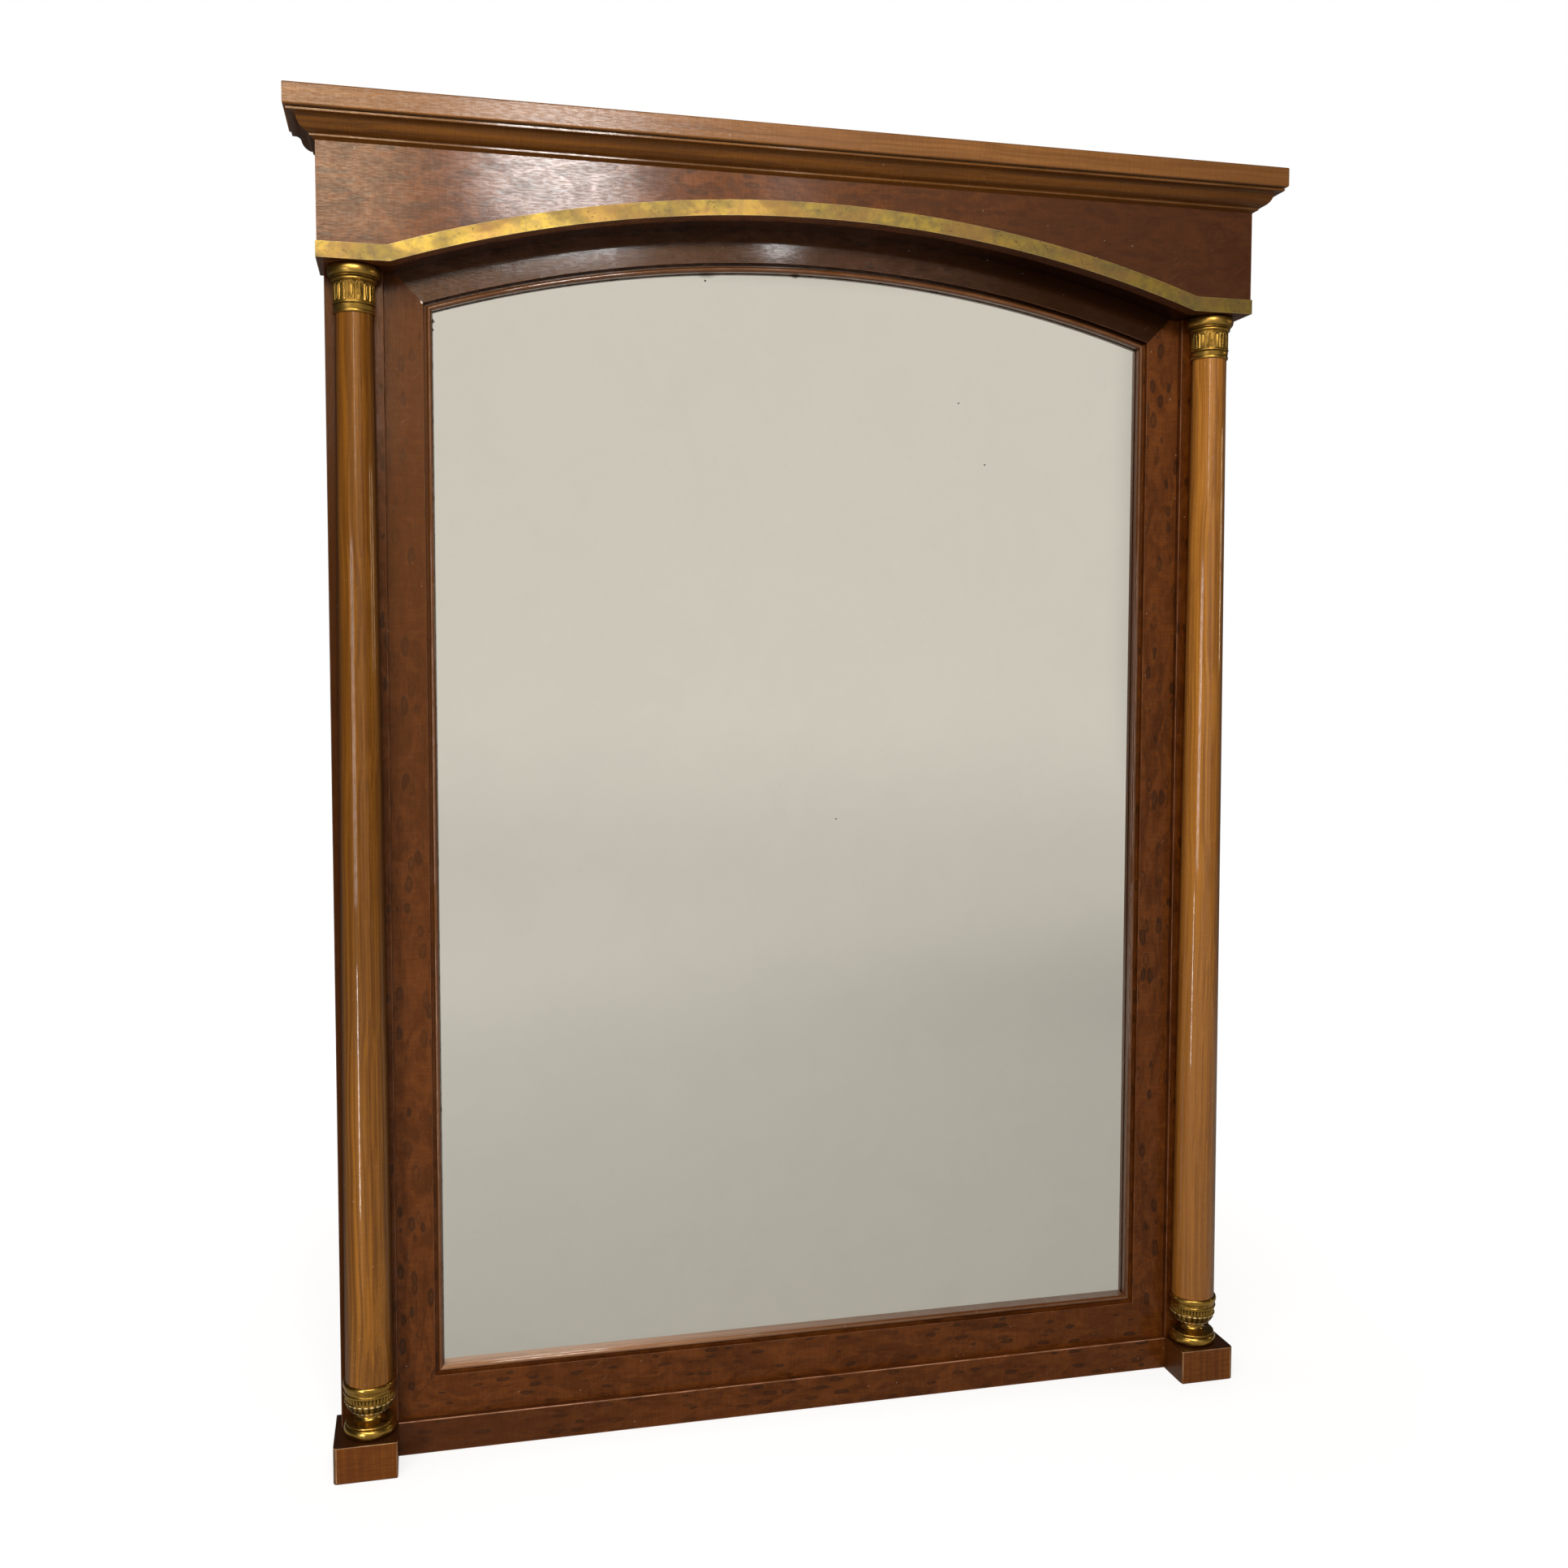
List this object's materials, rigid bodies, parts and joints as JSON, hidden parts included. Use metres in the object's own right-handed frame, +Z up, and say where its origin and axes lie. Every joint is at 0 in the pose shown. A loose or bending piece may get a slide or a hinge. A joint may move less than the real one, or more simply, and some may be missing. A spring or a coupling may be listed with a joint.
{
  "type": "column mirror",
  "caption": "Tall wall or overmantel mirror in a polished wood frame with engaged columns, an arched frieze with a brass strip, a moulded cornice and gilt capitals and bases.",
  "frame": {"origin": "centre of the outer box in plan, at floor level under the plinths and the bottom rail", "axes": "+X to the viewer's right, +Y towards the wall behind the mirror, +Z up; the glass faces -Y"},
  "size_m": [1.3436, 0.124, 1.75],
  "materials": {
    "figured_mahogany": "French polished, glossy, dark flecked figure",
    "orange_mahogany": "French polished, glossy, straight grain",
    "moulding_mahogany": "polished moulding, worn on its edges",
    "column_mahogany": "French polished to a high gloss",
    "secondary_softwood": "bare, aged, unpolished",
    "aged_brass": "aged sheet, mottled and dull",
    "gilt_bronze": "gilt, bright on the high parts, dark in the recesses",
    "silvered_glass": "old silvering, foxed at the edges",
    "dull_steel": "dull, browned",
    "hanger_brass": "dull, unlacquered"
  },
  "bodies": {
    "mirror_frame": {"outer_stile_left": "figured_mahogany", "outer_stile_right": "figured_mahogany", "bottom_rail": "figured_mahogany", "top_rail": "secondary_softwood", "inner_stile_left": "figured_mahogany", "inner_stile_right": "figured_mahogany", "inner_bottom_rail": "figured_mahogany", "inner_arched_rail": "figured_mahogany", "glazing_bead_left": "moulding_mahogany", "glazing_bead_right": "moulding_mahogany", "glazing_bead_bottom": "moulding_mahogany", "glazing_bead_arch": "moulding_mahogany", "mirror_glass": "silvered_glass", "glass_packers": "secondary_softwood", "back_board_lower": "secondary_softwood", "back_board_middle": "secondary_softwood", "back_board_upper": "secondary_softwood", "back_board_screws": "dull_steel", "frieze_board_centre": "figured_mahogany", "frieze_board_left": "figured_mahogany", "frieze_board_right": "figured_mahogany", "frieze_end_left": "figured_mahogany", "frieze_end_right": "figured_mahogany", "soffit_arch_centre": "figured_mahogany", "soffit_arch_left": "figured_mahogany", "soffit_arch_right": "figured_mahogany", "soffit_flat_left": "figured_mahogany", "soffit_flat_right": "figured_mahogany", "frieze_glue_blocks": "secondary_softwood", "brass_trim": "aged_brass", "brass_trim_return_left": "aged_brass", "brass_trim_return_right": "aged_brass", "brass_trim_pins": "aged_brass", "cap_board": "secondary_softwood", "cap_facing_front": "orange_mahogany", "cap_facing_end_left": "orange_mahogany", "cap_facing_end_right": "orange_mahogany", "cornice_front": "moulding_mahogany", "cornice_return_left": "moulding_mahogany", "cornice_return_right": "moulding_mahogany", "column_shaft_left": "column_mahogany", "column_shaft_right": "column_mahogany", "column_base_left": "gilt_bronze", "column_base_right": "gilt_bronze", "column_capital_left": "gilt_bronze", "column_capital_right": "gilt_bronze", "plinth_block_left": "orange_mahogany", "plinth_block_right": "orange_mahogany", "plinth_return_left": "orange_mahogany", "plinth_return_right": "orange_mahogany", "hanger_plate_left": "hanger_brass", "hanger_plate_right": "hanger_brass", "hanger_screws": "dull_steel"},
    "ring_left": {"hanger_ring_left": "hanger_brass"},
    "ring_right": {"hanger_ring_right": "hanger_brass"}
  },
  "joints": [
    {"name": "ring_left_hinge", "type": "hinge", "parent": "mirror_frame", "child": "ring_left", "pos_m": [-0.4, 0.05725, 1.689], "axis": [1, 0, 0], "range_deg": [0, 175]},
    {"name": "ring_right_hinge", "type": "hinge", "parent": "mirror_frame", "child": "ring_right", "pos_m": [0.4, 0.05725, 1.689], "axis": [1, 0, 0], "range_deg": [0, 175]}
  ]
}
